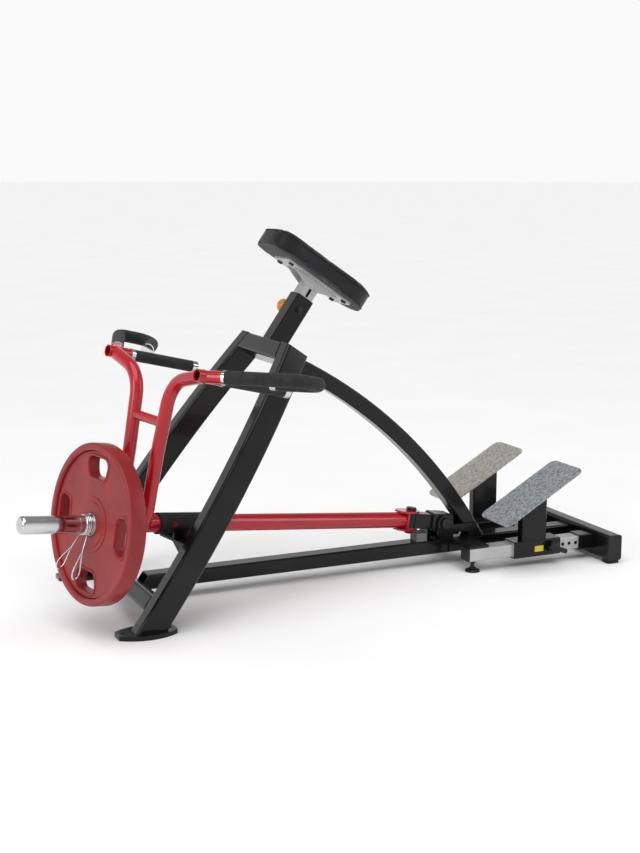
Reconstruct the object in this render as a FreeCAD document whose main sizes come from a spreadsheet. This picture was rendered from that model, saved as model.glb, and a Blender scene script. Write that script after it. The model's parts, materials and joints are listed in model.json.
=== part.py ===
import FreeCAD, Part
from FreeCAD import Placement, Rotation, Vector
from types import SimpleNamespace
import math
import os
import re

# Chest-supported lever row machine, plate loaded.
# Millimetres. +Z is up, +X runs from the weight end to the foot end, and Y = 0 is the
# frame's plane of symmetry. The user lies face down on the pad with the head towards -X,
# so +Y is the user's right. The origin is the centre of the four front floor bolts, on the floor.

SIZES = {
    # leaning front arch and the tube welded across its feet
    "lean": 34.8, "arch_top": 917, "leg_foot_y": 316, "leg_mid_y": 290, "leg_top_y": 156,
    "tube_depth": 76, "tube_thick": 56, "tube_wall": 3, "tube_corner": 9,
    "cross_low": 53, "cross_high": 101,
    # base rail and curved spine
    "rail_half": 30, "rail_low": 37, "rail_high": 83, "rail_end": 1590, "rail_corner": 7,
    "spine_radius": 1605.7, "spine_height": 48, "spine_centre_x": -133.5, "spine_centre_z": -722.7,
    # rear cross tube and its feet
    "rear_depth": 50, "rear_low": 11, "rear_high": 95, "rear_half": 252, "rear_foot_y": 234,
    # floor plates under the front legs
    "floor_plate_length": 170, "floor_plate_width": 104, "floor_plate_end": 44,
    "floor_plate_thick": 13, "floor_bolt_pitch": 140, "floor_bolt_y": 318, "floor_bolt_hole": 5.5,
    # pad post, sliding tube and pad
    "post_half": 30, "post_top": 1078, "inner_half": 25, "inner_wall": 2.5, "inner_low": 956,
    "bracket_low": 1138, "bracket_thick": 6, "board_thick": 11, "pad_thick": 51,
    "pad_rear": 187, "pad_front": 197, "pad_half": 97, "post_pin_level": 1040,
    "pad_bolt_along": 105, "pad_bolt_across": 43, "post_hole_pitch": 25,
    # swivel: pitch shaft, yoke and swing pin
    "pivot_x": 1106, "pivot_z": 137.5, "arm_pitch": 8.23, "arm_yaw": 12.73, "yoke_length": 112,
    "shaft_radius": 12.5, "pin_radius": 10, "running_gap": 0.06, "bush_thick": 2.5,
    "ear_inside": 32, "ear_thick": 8, "ear_radius": 28, "pedestal_thick": 8,
    "yoke_half": 29.8, "neck_half": 24.4, "fork_inside": 26, "fork_thick": 6, "fork_radius": 28,
    # arm, measured outwards from the swing pin
    "arm_start": 34, "arm_end": 1112, "arm_radius": 25.4, "arm_wall": 3,
    "sleeve_start": 760, "sleeve_end": 958, "sleeve_radius": 31,
    "flange_thick": 12, "flange_radius": 44, "horn_radius": 25, "horn_end": 1384,
    "horn_wall": 4.5, "groove_width": 2.5,
    "plate_gap": 0.4, "plate_thick": 50, "plate_radius": 225, "plate_bore": 25.1,
    "window_inner": 130, "window_outer": 186, "window_narrow": 44, "window_wide": 57,
    "collar_length": 34, "collar_radius": 32, "wire_radius": 2.6,
    # handles, in the arm's own frame
    "upright_at": 1040, "upright_radius": 19, "handle_half": 238, "handle_up": 457,
    "handle_length": 308, "handle_drop": 6, "stub_length": 74, "stub_radius": 17.5, "branch_length": 52,
    "core_radius": 12.5, "core_wall": 2.5, "grip_radius": 17, "loop_grip_radius": 19,
    "grip_collar": 12, "grip_cap": 18, "crossbar_up": 300, "crossbar_radius": 14,
    # cradle that the arm rests in
    "cradle_start": 860, "cradle_end": 922, "shelf_low": 43, "lining_low": 37, "lining_top": 31.3,
    # adjustable foot supports
    "foot_rail_y": 140, "foot_rail_half": 25, "foot_rail_low": 38, "foot_rail_high": 80,
    "foot_rail_start": 1120, "foot_rail_cap": 5, "bracket_long": 74, "socket_start": 1535,
    "liner": 2, "liner_long": 40, "carriage_wall": 6, "carriage_floor": 5, "carriage_roof": 4,
    "carriage_start": 1286, "carriage_end": 1459, "hole_pitch": 25, "hole_start": 1349,
    "hole_radius": 6, "foot_pin_x": 1424, "pin_level": 59,
    "riser_start": 1314, "riser_end": 1406, "riser_width": 34,
    "tread_x": 1201, "tread_y": 176, "tread_z": 168, "tread_slope": 29.8, "tread_length": 320,
    "tread_half": 87, "tread_thick": 5, "tread_corner": 24,
    "levelling_x": 1149, "levelling_radius": 24, "levelling_stem": 6,
}

doc = FreeCAD.newDocument("lever_row_machine")
sheet = doc.addObject("Spreadsheet::Sheet", "Sizes")
for row, (alias, number) in enumerate(SIZES.items(), start=1):
    sheet.set(f"A{row}", alias.replace("_", " "))
    sheet.set(f"B{row}", str(number))
    sheet.setAlias(f"B{row}", alias)
doc.recompute()
S = SimpleNamespace(**{alias: float(getattr(sheet, alias)) for alias in SIZES})

NODES = {}
SIDES = (("left", -1), ("right", 1))
X, Y, Z = Vector(1, 0, 0), Vector(0, 1, 0), Vector(0, 0, 1)
AXES = {"x": X, "y": Y, "z": Z}
TURN_TO = {"x": Rotation(Y, 90), "y": Rotation(X, -90), "-y": Rotation(X, 90), "z": Rotation()}

# The leaning frame: X out of the arch's plane towards the foot end, Z up along the arch.
LEAN = Placement(Vector(), Rotation(Y, S.lean))
# The yoke frame: origin on the pitch shaft, the swing pin at X = -yoke_length.
YOKE = Placement(Vector(S.pivot_x, 0, S.pivot_z), Rotation(Y, S.arm_pitch))
# The arm frame: origin on the swing pin, the weight horn towards -X.
ARM = YOKE.multiply(Placement(Vector(-S.yoke_length, 0, 0), Rotation(Z, S.arm_yaw)))
# The arm frame turned so that Z runs outwards along the arm, for what is turned about it.
ALONG_ARM = ARM.multiply(Placement(Vector(), Rotation(Y, -90)))


# ---------------------------------------------------------------- helpers

def cells(expression):
    """Write an expression of plain aliases as one of the sheet's cells."""
    def named(word):
        return "Sizes." + word.group() if word.group() in SIZES else word.group()
    return re.sub(r"[a-z_]+", named, str(expression))


def keep(label, item, frame=None):
    """Register a finished sub-part under its node name, placed in its frame."""
    item.Label = label
    if frame is not None:
        item.Placement = frame
    NODES[label] = item
    return item


def feature(label, shape, frame=None):
    """A sub-part whose shape is worked out from the sheet in code."""
    item = doc.addObject("Part::Feature", label)
    item.Shape = shape
    return keep(label, item, frame)


def tool(name, shape):
    """A shape worked out in code that a parametric object is trimmed with."""
    item = doc.addObject("Part::Feature", name)
    item.Shape = shape
    return item


def block(name, x, y, z):
    """A box between pairs of bounds, each an expression of the sheet's cells."""
    item = doc.addObject("Part::Box", name)
    for side, axis, (low, high) in (("Length", "x", x), ("Width", "y", y), ("Height", "z", z)):
        item.setExpression(side, cells(f"({high}) - ({low})"))
        item.setExpression(f"Placement.Base.{axis}", cells(low))
    return item


def rod(name, radius, length, start, axis="z"):
    """A cylinder from a start point along an axis."""
    item = doc.addObject("Part::Cylinder", name)
    item.setExpression("Radius", cells(radius))
    item.setExpression("Height", cells(length))
    item.Placement = Placement(Vector(), TURN_TO[axis])
    for letter, value in zip("xyz", start):
        item.setExpression(f"Placement.Base.{letter}", cells(value))
    return item


def cut(name, base, *tools):
    """Cut one or more tools out of a base."""
    for number, cutter in enumerate(tools):
        item = doc.addObject("Part::Cut", f"{name}_cut_{number}")
        item.Base, item.Tool = base, cutter
        base = item
    return base


def fuse(name, *parts):
    """Weld parts into one solid."""
    item = doc.addObject("Part::MultiFuse", f"{name}_fused")
    item.Shapes = list(parts)
    item.Refine = True
    return item


def group(name, *parts):
    """Separate solids that share one node."""
    item = doc.addObject("Part::Compound", f"{name}_group")
    item.Links = list(parts)
    return item


def rounded(name, base, radius, axis):
    """Round a box's four edges that run along an axis."""
    doc.recompute()
    edges = enumerate(base.Shape.Edges, start=1)
    item = doc.addObject("Part::Fillet", f"{name}_rounded")
    item.Base = base
    item.Edges = [(n, radius, radius) for n, edge in edges if abs(edge.tangentAt(0).dot(AXES[axis])) > 0.9]
    return item


def tube(name, axis, x, y, z, wall, corner):
    """A rectangular tube along an axis, its outer corners rounded and its ends open."""
    bounds = {"x": x, "y": y, "z": z}
    outer = rounded(name, block(f"{name}_outer", x, y, z), corner, axis)
    grow = {letter: 1 if letter == axis else -wall for letter in bounds}
    hollow = []
    for letter, (low, high) in bounds.items():
        hollow.append((f"({low}) - ({grow[letter]})", f"({high}) + ({grow[letter]})"))
    return cut(name, outer, block(f"{name}_hollow", *hollow))


def rounded_polygon(points, radius):
    """Sketch edges of a closed outline with every corner rounded to the same radius."""
    corners = [Vector(first, second, 0) for first, second in points]
    arcs = []
    for before, corner, after in zip(corners[-1:] + corners[:-1], corners, corners[1:] + corners[:1]):
        arcs.append(corner_arc(before, corner, after, radius))
    sides = zip(arcs, arcs[1:] + arcs[:1])
    return arcs + [Part.LineSegment(arc.EndPoint, following.StartPoint) for arc, following in sides]


def corner_arc(before, corner, after, radius):
    """The arc of a given radius that rounds the corner between two straight runs."""
    inward, outward = (before - corner).normalize(), (after - corner).normalize()
    half = inward.getAngle(outward) / 2
    reach = radius / math.tan(half)
    middle = corner + (inward + outward).normalize() * (radius / math.sin(half) - radius)
    return Part.Arc(corner + inward * reach, middle, corner + outward * reach)


def polygon(points):
    """Sketch edges of a closed outline with sharp corners."""
    corners = [Vector(first, second, 0) for first, second in points]
    return [Part.LineSegment(start, end) for start, end in zip(corners, corners[1:] + corners[:1])]


def rectangle(low_x, high_x, half_y):
    return [(low_x, -half_y), (high_x, -half_y), (high_x, half_y), (low_x, half_y)]


def sketch_in(body, name, role, edges):
    """A sketch of the given edges on one of a body's own origin planes."""
    sketch = body.newObject("Sketcher::SketchObject", name)
    plane = next(part for part in body.Origin.OriginFeatures if part.Role == role)
    sketch.AttachmentSupport = [(plane, "")]
    sketch.MapMode = "FlatFace"
    for edge in edges:
        sketch.addGeometry(edge, False)
    return sketch


def pocketed(body, name, edges):
    """Pocket an outline on the XY plane right through a body, both ways."""
    pocket = body.newObject("PartDesign::Pocket", name)
    pocket.Profile = sketch_in(body, f"{name}_outline", "XY_Plane", edges)
    pocket.Type = "ThroughAll"
    pocket.Midplane = True
    return pocket


def turned(label, profile, frame=None):
    """A body turned about its own Z axis from (radius, height) corners."""
    body = doc.addObject("PartDesign::Body", label)
    turn = body.newObject("PartDesign::Revolution", f"{label}_turn")
    turn.Profile = sketch_in(body, f"{label}_profile", "XZ_Plane", polygon(profile))
    turn.ReferenceAxis = (turn.Profile[0], ["V_Axis"])
    turn.Angle = 360
    return keep(label, body, frame)


def padded(name, edges, thickness, frame, holes=()):
    """A body padded up from an outline in its frame, with round holes pocketed through it."""
    body = doc.addObject("PartDesign::Body", name)
    pad = body.newObject("PartDesign::Pad", f"{name}_pad")
    pad.Profile = sketch_in(body, f"{name}_outline", "XY_Plane", edges)
    pad.setExpression("Length", cells(thickness))
    if holes:
        pocketed(body, f"{name}_holes", [Part.Circle(Vector(x, y, 0), Z, radius) for x, y, radius in holes])
    body.Placement = frame
    return body


def solid_box(x, y, z):
    """A plain box between pairs of numbers, given in either order."""
    lows = [min(pair) for pair in (x, y, z)]
    spans = [abs(pair[1] - pair[0]) for pair in (x, y, z)]
    return Part.makeBox(*spans, Vector(*lows))


def solid_rod(radius, start, end):
    axis = end - start
    return Part.makeCylinder(radius, axis.Length, start, axis)


def ring(radius, outer_radius, start, end):
    return solid_rod(outer_radius, start, end).cut(solid_rod(radius, start, end))


def plate_of(points, thickness):
    """A plate of a given thickness (a vector) from its closed outline."""
    return Part.Face(Part.makePolygon(points + points[:1])).extrude(thickness)


def hexagon(across, start, end):
    """A hexagonal head or nut between two points on its axis."""
    corner = across / math.sqrt(3)
    angles = [math.radians(60 * side) for side in range(6)]
    corners = [Vector(corner * math.cos(a), corner * math.sin(a), 0) for a in angles]
    prism = plate_of(corners, Z * (end - start).Length)
    prism.Placement = Placement(start, Rotation(Z, end - start))
    return prism


def bent_bar(points, bends, radius):
    """A round bar along straight runs joined by tangent arcs, one bend radius for each inner point."""
    arcs = [corner_arc(*points[n:n + 3], bend) for n, bend in enumerate(bends)]
    edges = []
    start = points[0]
    for arc in arcs:
        edges += [Part.LineSegment(start, arc.StartPoint).toShape(), arc.toShape()]
        start = arc.EndPoint
    edges.append(Part.LineSegment(start, points[-1]).toShape())
    section = Part.Wire(Part.makeCircle(radius, points[0], points[1] - points[0]))
    return Part.Wire(edges).makePipeShell([section], True, False)


def arc_in_steps(start, middle, end, steps):
    """An arc through three points as equal shorter arcs, so that nested arcs share their stations."""
    whole = Part.Arc(start, middle, end).toShape()
    low, high = whole.ParameterRange
    points = [whole.valueAt(low + (high - low) * n / (2 * steps)) for n in range(2 * steps + 1)]
    return [Part.Arc(*points[n:n + 3]).toShape() for n in range(0, 2 * steps, 2)]


def round_edges(shape, radius, axis):
    """Round a shape's edges that run along an axis."""
    return shape.makeFillet(radius, [edge for edge in shape.Edges if abs(edge.tangentAt(0).dot(axis)) > 0.9])


# ---------------------------------------------------------------- leaning front arch

ABOVE_PLATES = solid_box((-2000, 3000), (-2000, 2000), (S.floor_plate_thick, 3000))
ABOVE_PLATES.Placement = LEAN.inverse()
ARC_STEPS = 8
# A leg's middle line: its distance from the centre plane, its level and its slope at three stations.
LEG_STATIONS = ((S.leg_foot_y, -60, 0.07), (S.leg_mid_y, 450, -0.18), (S.leg_top_y, S.arch_top, -0.42))


def leg_envelope(side, inset):
    """One leg as a solid: two arcs a tube's thickness apart, extruded through the tube's depth."""
    half = S.tube_thick / 2 - inset
    depth = S.tube_depth / 2 - inset
    outer, inner = [], []
    for middle, level, slope in LEG_STATIONS:
        lift = half * math.sqrt(1 + slope * slope)
        outer.append(Vector(-depth, side * (middle + lift), level))
        inner.append(Vector(-depth, side * (middle - lift), level))
    edges = arc_in_steps(*outer, ARC_STEPS) + [Part.LineSegment(outer[2], inner[2]).toShape()]
    edges += arc_in_steps(*inner[::-1], ARC_STEPS) + [Part.LineSegment(inner[0], outer[0]).toShape()]
    face = Part.Face(Part.Wire(Part.sortEdges(edges)[0]))
    return face.extrude(X * 2 * depth)


def leg_body(side):
    """A leg with its long edges rounded, not yet hollow, standing on its floor plate."""
    solid = leg_envelope(side, 0)
    curved = [edge for edge in solid.Edges if isinstance(edge.Curve, Part.Circle)]
    return solid.makeFillet(S.tube_corner, curved).common(ABOVE_PLATES)


def beyond_leg(side, level):
    """Everything outside a leg's inner face near a level, for trimming a tube that meets it."""
    middle = S.leg_top_y if level > S.arch_top / 2 else S.leg_foot_y
    outside = solid_box((-200, 200), (side * middle, side * 700), (level - 200, level + 200))
    return leg_envelope(side, 0).fuse(outside)


for name, side in SIDES:
    feature(f"{name}_leg", leg_body(side).cut(leg_envelope(side, S.tube_wall)), LEAN)

ARCH_DEPTH = ("-tube_depth / 2", "tube_depth / 2")
BRIDGE_Z = ("arch_top - tube_thick", "arch_top")
bridge = tube("bridge", "y", ARCH_DEPTH, ("-300", "300"), BRIDGE_Z, S.tube_wall, S.tube_corner)
bridge_ends = [tool(f"bridge_{name}_end", beyond_leg(side, S.arch_top)) for name, side in SIDES]
keep("top_bridge", cut("top_bridge", bridge, *bridge_ends), LEAN)

CROSS_Z = ("cross_low", "cross_high")
cross = tube("cross", "y", ARCH_DEPTH, ("-400", "400"), CROSS_Z, S.tube_wall, S.tube_corner)
cross_ends = [tool(f"cross_{name}_end", beyond_leg(side, S.cross_low)) for name, side in SIDES]
keep("front_cross_tube", cut("front_cross_tube", cross, *cross_ends), LEAN)

# Boat-shaped floor plates, blunt at both ends, with two anchor holes each.
floor_plates = []
for name, side in SIDES:
    end_x, end_y, middle_y = S.floor_plate_length / 2, S.floor_plate_end / 2, S.floor_plate_width / 2
    corners = [Vector(x, y, 0) for x, y in rectangle(-end_x, end_x, end_y)]
    outline = [Part.Arc(corners[0], Vector(0, -middle_y, 0), corners[1])]
    outline.append(Part.LineSegment(corners[1], corners[2]))
    outline.append(Part.Arc(corners[2], Vector(0, middle_y, 0), corners[3]))
    outline.append(Part.LineSegment(corners[3], corners[0]))
    bolts = [(x * S.floor_bolt_pitch / 2, 0, S.floor_bolt_hole) for x in (-1, 1)]
    frame = Placement(Vector(0, side * S.floor_bolt_y, 0), Rotation())
    floor_plates.append(padded(f"{name}_floor_plate", outline, "floor_plate_thick", frame, bolts))
keep("floor_plates", group("floor_plates", *floor_plates))

# ---------------------------------------------------------------- base rail, spine, rear cross tube

BEHIND_ARCH = solid_box((S.tube_depth / 2, 4000), (-2000, 2000), (-3000, 4000))
BEHIND_ARCH.Placement = LEAN
before_arch = solid_box((-4000, S.tube_depth / 2), (-2000, 2000), (-3000, 4000))
before_arch.Placement = LEAN
RAIL_Y = ("-rail_half", "rail_half")
rail = tube("rail", "x", ("0", "rail_end"), RAIL_Y, ("rail_low", "rail_high"), S.tube_wall, S.rail_corner)
keep("base_rail", cut("base_rail", rail, tool("rail_front_end", before_arch)))


def spine_arc(radius, half):
    """Three points of an arc about the spine's centre, from over the arch down past the rail."""
    centre = Vector(S.spine_centre_x, -half, S.spine_centre_z)
    angles = [math.radians(angle) for angle in (75, 52, 29)]
    return [centre + Vector(radius * math.cos(a), 0, radius * math.sin(a)) for a in angles]


def spine_envelope(inset):
    """The spine between two arcs about one centre, longer than it needs to be at both ends."""
    half = S.rail_half - inset
    outer = spine_arc(S.spine_radius - inset, half)
    inner = spine_arc(S.spine_radius - S.spine_height + inset, half)
    edges = arc_in_steps(*outer, ARC_STEPS) + [Part.LineSegment(outer[2], inner[2]).toShape()]
    edges += arc_in_steps(*inner[::-1], ARC_STEPS) + [Part.LineSegment(inner[0], outer[0]).toShape()]
    return Part.Face(Part.Wire(Part.sortEdges(edges)[0])).extrude(Y * 2 * half)


spine = spine_envelope(0)
spine = spine.makeFillet(S.rail_corner, [edge for edge in spine.Edges if isinstance(edge.Curve, Part.Circle)])
above_rail = solid_box((0, 3000), (-200, 200), (S.rail_high, 1500))
spine = spine.cut(spine_envelope(S.tube_wall)).common(above_rail).common(BEHIND_ARCH)
feature("spine_tube", max(spine.Solids, key=lambda solid: solid.Volume))

REAR_X = ("rail_end", "rail_end + rear_depth")
REAR_Z = ("rear_low", "rear_high")
rear = tube("rear", "y", REAR_X, ("-rear_half", "rear_half"), REAR_Z, S.tube_wall, S.tube_corner)
keep("rear_cross_tube", rear)
FOOT_X = ("rail_end + 3", "rail_end + rear_depth - 3")
feet = []
for name, side in SIDES:
    foot_y = (f"{side} * rear_foot_y - 18", f"{side} * rear_foot_y + 18")
    foot = block(f"{name}_rear_foot", FOOT_X, foot_y, ("0", "rear_low"))
    feet.append(rounded(f"{name}_rear_foot", foot, 6, "z"))
keep("rear_rubber_feet", group("rear_rubber_feet", *feet))

# ---------------------------------------------------------------- pad post and its fittings

POST_SQUARE = ("-post_half", "post_half")
post = tube("post", "z", POST_SQUARE, POST_SQUARE, ("arch_top", "post_top"), S.tube_wall, 4)
pin_bore = rod("post_pin_bore", "8", "post_half + 1", ("0", "0", "post_pin_level"), "y")
keep("pad_post", cut("pad_post", post, pin_bore), LEAN)

# A nylon bush fills the post's bore and laps over its end; the sliding tube runs in it.
bush_square = ("0.05 + tube_wall - post_half", "post_half - tube_wall - 0.05")
lip_square = ("1.5 - post_half", "post_half - 1.5")
bore_square = ("-inner_half - running_gap", "inner_half + running_gap")
bush = fuse("bush", block("bush_sleeve", bush_square, bush_square, ("post_top - 90", "post_top")),
            block("bush_lip", lip_square, lip_square, ("post_top", "post_top + 3")))
bush_bore = block("bush_bore", bore_square, bore_square, ("post_top - 91", "post_top + 4"))
bush_pin_bore = rod("bush_pin_bore", "8", "post_half + 1", ("0", "0", "post_pin_level"), "y")
keep("post_guide_bush", cut("post_guide_bush", bush, bush_bore, bush_pin_bore), LEAN)

# Pull pin on the post's right face: a sprung pin with a ball knob, in a screwed-in housing.
PIN_FRAME = LEAN.multiply(Placement(Vector(0, 0, S.post_pin_level), TURN_TO["y"]))
BALL_RADIUS = 22
BALL_AT = 88
ball_angles = [math.radians(angle) for angle in range(-65, 90, 5)]
ball = [(BALL_RADIUS * math.cos(a), BALL_AT + BALL_RADIUS * math.sin(a)) for a in ball_angles]
pin_shank = [(0, 25.5), (4, 25.5), (6, 27.5), (6, 62)]
turned("post_pin_knob", pin_shank + ball + [(0, BALL_AT + BALL_RADIUS)], PIN_FRAME)

# ---------------------------------------------------------------- pad on its sliding tube

INNER_SQUARE = ("-inner_half", "inner_half")
slide = tube("slide", "z", INNER_SQUARE, INNER_SQUARE, ("inner_low", "bracket_low"), S.inner_wall, 3)
slot = block("slide_slot", ("-4.5", "4.5"), ("-inner_half - 1", "0"), ("1084", "1112"))
slide_holes = []
for number in range(-2, 2):
    level = f"post_pin_level + {number} * post_hole_pitch"
    slide_holes.append(rod(f"slide_hole_{number + 2}", "6.5", "inner_half + 1", ("0", "0", level), "y"))
keep("pad_slide_tube", cut("pad_slide_tube", slide, slot, *slide_holes), LEAN)


def above_slide(lift):
    """A frame in the pad's plane at a height above the sliding tube's end."""
    return LEAN.multiply(Placement(Vector(0, 0, S.bracket_low + lift), Rotation()))


bolt_x, bolt_y = S.pad_bolt_along, S.pad_bolt_across
bolt_places = [(x, y) for x in (-bolt_x, bolt_x) for y in (-bolt_y, bolt_y)]
bracket_outline = rounded_polygon(rectangle(-bolt_x - 24, bolt_x + 24, bolt_y + 17), 22)
bolt_holes = [(x, y, 4.2) for x, y in bolt_places]
bracket = padded("bracket_plate", bracket_outline, "bracket_thick", above_slide(0), bolt_holes)

# Two gusset ribs under the bracket, one on each side of the sliding tube.
ribs = []
for name, side in SIDES:
    rib_y = side * (S.inner_half + 2.7) - 2.5
    rib_corners = [Vector(x, rib_y, S.bracket_low + z) for x, z in ((-88, 0), (-26, -22), (26, -22), (88, 0))]
    ribs.append(tool(f"{name}_bracket_rib", plate_of(rib_corners, Y * 5)))
    ribs[-1].Placement = LEAN
keep("pad_bracket", fuse("pad_bracket", bracket, *ribs))

bolts = []
for x, y in bolt_places:
    seat = Vector(x, y, S.bracket_low)
    head = solid_rod(8.5, seat - Z * 5.5, seat)
    rim = [edge for edge in head.Edges if edge.Closed and abs(edge.CenterOfMass.z - seat.z) > 5]
    bolts.append(head.makeFillet(2.5, rim).fuse(solid_rod(4, seat, seat + Z * S.bracket_thick)))
feature("pad_bolts", Part.makeCompound(bolts), LEAN)


def pad_outline(inset):
    """The pad's outline: a blunt head end, nearly parallel sides and a rounded lower end."""
    front, rear, half = -S.pad_front + inset, S.pad_rear - inset, S.pad_half - inset
    shoulder, hip = front + 60, rear - 82
    a, b = Vector(front, 22 - half, 0), Vector(front, half - 22, 0)
    c, d = Vector(shoulder, half, 0), Vector(hip, half - 8, 0)
    e, f = Vector(hip, 8 - half, 0), Vector(shoulder, -half, 0)
    return [Part.Arc(a, Vector(front - 6, 0, 0), b), Part.Arc(b, Vector(front + 20, half - 6, 0), c),
            Part.LineSegment(c, d), Part.Arc(d, Vector(rear, 0, 0), e),
            Part.LineSegment(e, f), Part.Arc(f, Vector(front + 20, 6 - half, 0), a)]


board_seat = above_slide(S.bracket_thick)
cushion_seat = above_slide(S.bracket_thick + S.board_thick + 0.3)
keep("pad_backboard", padded("backboard", pad_outline(9), "board_thick", board_seat))
keep("pad_cushion", padded("cushion", pad_outline(0), "pad_thick", cushion_seat))

# ---------------------------------------------------------------- swivel: pedestal, shaft and yoke

PIVOT = Vector(S.pivot_x, 0, S.pivot_z)
pedestal_x = (S.pivot_x - 46, S.pivot_x + S.ear_radius)
pedestal = solid_box(pedestal_x, (-44, 44), (S.rail_high, S.rail_high + S.pedestal_thick))
for name, side in SIDES:
    ear_y = (side * S.ear_inside, side * (S.ear_inside + S.ear_thick))
    cheek = solid_rod(S.ear_radius, PIVOT + Y * min(ear_y), PIVOT + Y * max(ear_y))
    stem = solid_box((S.pivot_x - S.ear_radius, S.pivot_x + S.ear_radius), ear_y, (S.rail_high, S.pivot_z))
    strap = solid_box((S.pivot_x, S.pivot_x + 118), (side * (S.rail_half + 0.1), side * 36), (104, 130))
    strap = strap.cut(solid_box((0, S.pivot_x + S.ear_radius), (-S.ear_inside, S.ear_inside), (90, 200)))
    pedestal = pedestal.fuse([cheek, stem, strap])
pedestal = pedestal.removeSplitter().cut(solid_rod(S.shaft_radius, PIVOT - Y * 60, PIVOT + Y * 60))
feature("pivot_pedestal", pedestal)

shaft_head = [(0, -52), (15, -52), (17.5, -49.5), (17.5, -40)]
shaft_profile = shaft_head + [(S.shaft_radius, -40), (S.shaft_radius, 50), (11, 51.5), (0, 51.5)]
turned("pivot_shaft", shaft_profile, Placement(PIVOT, TURN_TO["y"]))
stop_x = ("pivot_x - 98", "pivot_x - 58")
stop = block("stop_rubber", stop_x, ("-24", "24"), ("rail_high", "rail_high + 26"))
keep("arm_stop_block", rounded("arm_stop_block", stop, 5, "z"))

# Frame fasteners: the pedestal's four screws, the shaft's nut, the post's clamp screw, the
# pull pin's screwed housing and the levelling feet's nuts.
fasteners = []
for x in (-37, 17):
    for y in (-21, 21):
        seat = Vector(S.pivot_x + x, y, S.rail_high + S.pedestal_thick)
        fasteners.append(hexagon(17, seat, seat + Z * 5))
shaft_bore = solid_rod(S.shaft_radius, PIVOT, PIVOT + Y * 60)
fasteners.append(hexagon(36, PIVOT + Y * 40, PIVOT + Y * 49).cut(shaft_bore))
clamp = Vector(0, -S.post_half, S.post_pin_level)
clamp_screw = solid_rod(13, clamp, clamp - Y * 2).fuse(hexagon(17, clamp - Y * 2, clamp - Y * 8))
clamp_screw.Placement = LEAN
fasteners.append(clamp_screw)
housing = ring(6.1, 10.5, Z * S.post_half, Z * 58).fuse(ring(6.1, 14, Z * S.post_half, Z * 36))
housing.Placement = PIN_FRAME
fasteners.append(housing.removeSplitter())
for name, side in SIDES:
    seat = Vector(S.levelling_x, side * S.foot_rail_y, S.foot_rail_low)
    thread = solid_rod(S.levelling_stem + S.running_gap, seat - Z * 20, seat)
    fasteners.append(hexagon(19, seat - Z * 9, seat).cut(thread))
feature("frame_fasteners", Part.makeCompound(fasteners))

SHAFT_SEAT = S.shaft_radius + S.running_gap + S.bush_thick
PIN_SEAT = S.pin_radius + S.running_gap + S.bush_thick
SWING = Vector(-S.yoke_length, 0, 0)
yoke = round_edges(solid_box((-42, 30), (-S.yoke_half, S.yoke_half), (-29, 29)), 7, Y)
neck = solid_box((-S.yoke_length, -42), (-20, 20), (-S.neck_half, S.neck_half))
boss = solid_rod(22, SWING - Z * S.neck_half, SWING + Z * S.neck_half)
yoke = yoke.fuse([neck, boss]).removeSplitter()
yoke = yoke.cut(solid_rod(SHAFT_SEAT, -Y * 50, Y * 50))
feature("swivel_yoke", yoke.cut(solid_rod(PIN_SEAT, SWING - Z * 50, SWING + Z * 50)), YOKE)

bushes = []
for end in (-1, 1):
    low, high = SWING + Z * end * 6, SWING + Z * end * S.neck_half
    bushes.append(ring(S.shaft_radius + S.running_gap, SHAFT_SEAT, Y * end * 10, Y * end * S.yoke_half))
    bushes.append(ring(S.pin_radius + S.running_gap, PIN_SEAT, low, high))
feature("yoke_bushes", Part.makeCompound(bushes), YOKE)
washers = []
for end in (-1, 1):
    face = SWING + Z * end * S.neck_half
    washers.append(ring(S.pin_radius + S.running_gap, 19, face, face + Z * end * 1.3))
feature("swing_washers", Part.makeCompound(washers), YOKE)

# ---------------------------------------------------------------- arm, fork and weight horn

fork_top = S.fork_inside + S.fork_thick
fork = solid_box((-S.arm_start, 8 - S.arm_start), (-28, 28), (-fork_top, fork_top))
for low, high in ((S.fork_inside, fork_top), (-fork_top, -S.fork_inside)):
    cheek = solid_box((-56, 0), (-S.fork_radius, S.fork_radius), (low, high))
    upright_edges = [edge for edge in cheek.Edges if abs(edge.tangentAt(0).z) > 0.9]
    cheek = cheek.makeChamfer(14, [edge for edge in upright_edges if edge.CenterOfMass.x < -50])
    fork = fork.fuse([cheek, solid_rod(S.fork_radius, Z * low, Z * high)])
fork = fork.cut(solid_rod(S.pin_radius, -Z * 50, Z * 50))
fork = fork.cut(solid_rod(S.arm_radius + 0.05, -X * 70, -X * S.arm_start))
feature("swing_fork", fork.removeSplitter(), ARM)
swing_pin = solid_rod(S.pin_radius, -Z * 44, Z * fork_top)
head, nut = hexagon(30, Z * fork_top, Z * (fork_top + 9)), hexagon(28, -Z * 41, -Z * fork_top)
swing_pin = swing_pin.fuse([head, nut])
feature("swing_pin", swing_pin.removeSplitter(), ARM)


def pipe(name, radius, bore, near, far):
    """A round tube along the arm between two distances from the swing pin."""
    outer = rod(f"{name}_outer", radius, f"({far}) - ({near})", (f"-({far})", "0", "0"), "x")
    hollow = rod(f"{name}_hollow", bore, f"({far}) - ({near}) + 2", (f"-({far}) - 1", "0", "0"), "x")
    return keep(name, cut(name, outer, hollow), ARM)


pipe("arm_tube", "arm_radius", "arm_radius - arm_wall", "arm_start", "arm_end")
pipe("rest_sleeve", "sleeve_radius", "arm_radius + 0.1", "sleeve_start", "sleeve_end")
sleeve_body = solid_rod(S.sleeve_radius, -X * 1000, -X * 700)
screws = []
for along in (800, 915):
    seat = Vector(-along, 0, 3)
    screws.append(solid_rod(7.5, seat - Y * 34.5, seat - Y * 20).cut(sleeve_body))
feature("sleeve_screws", Part.makeCompound(screws), ARM)

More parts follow.
